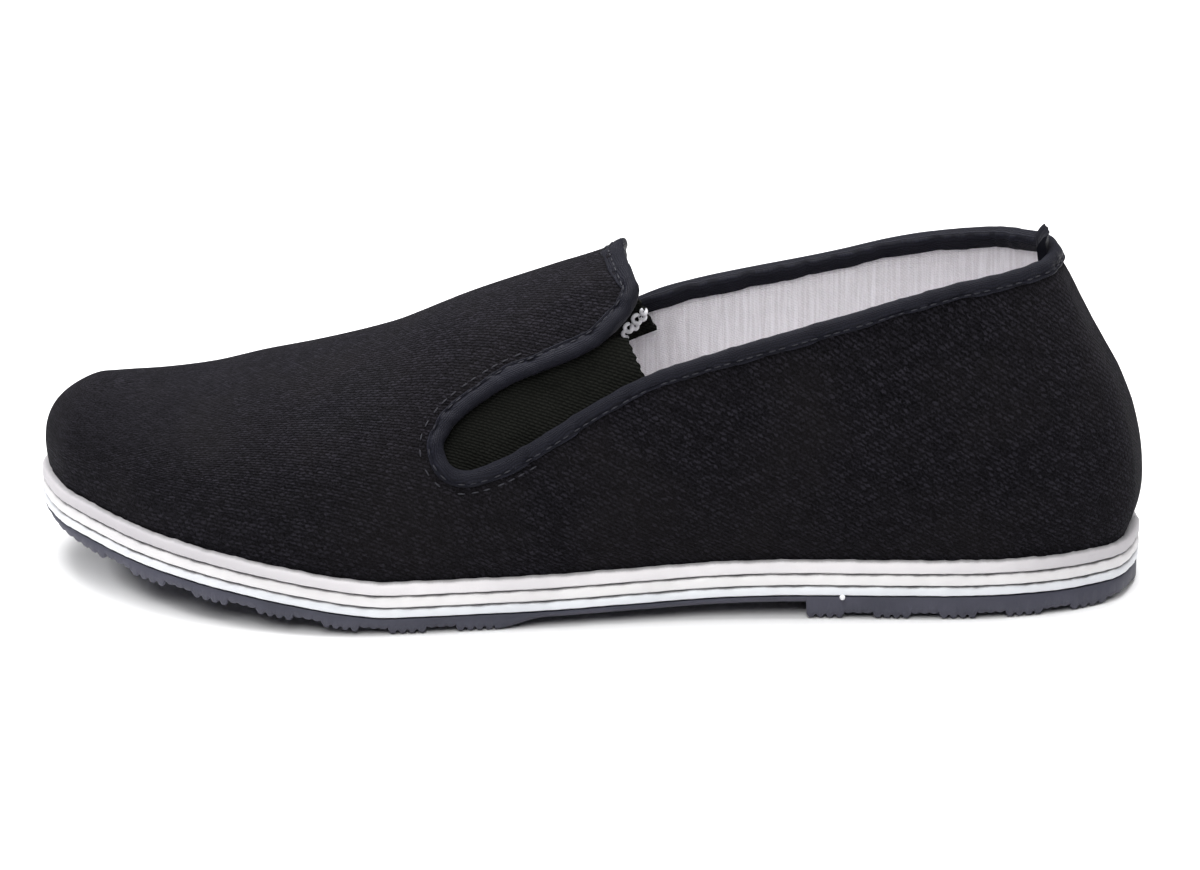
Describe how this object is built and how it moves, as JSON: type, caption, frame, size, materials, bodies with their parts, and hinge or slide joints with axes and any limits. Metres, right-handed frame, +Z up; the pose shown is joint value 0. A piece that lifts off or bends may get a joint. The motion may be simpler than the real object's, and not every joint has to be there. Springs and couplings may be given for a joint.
{
  "type": "cloth shoe",
  "caption": "Slip-on black cloth shoe for the left foot with a bound collar, elastic side slots and a layered sole that stands flat on heel and forefoot.",
  "frame": {"origin": "middle of the sole's outline, on the floor plane", "axes": "X along the shoe with the toe at -X, the lateral (outer) side at -Y, +Z up from the floor"},
  "size_m": [0.2752, 0.0957, 0.0865],
  "materials": {
    "black_twill": "cotton twill",
    "black_tape": "smooth woven tape",
    "black_elastic": "ribbed elastic",
    "sock_cotton": "plain cotton",
    "welt_white": "matt",
    "middle_white": "satin",
    "lower_white": "satin",
    "slate_rubber": "matt"
  },
  "bodies": {
    "root": {"upper": "black_twill", "edge_binding": "black_tape", "heel_tab": "black_tape", "gore_lateral": "black_elastic", "gore_medial": "black_elastic", "insole": "sock_cotton", "welt": "welt_white", "midsole_upper": "middle_white", "midsole_lower": "lower_white", "outsole": "slate_rubber"}
  },
  "joints": []
}
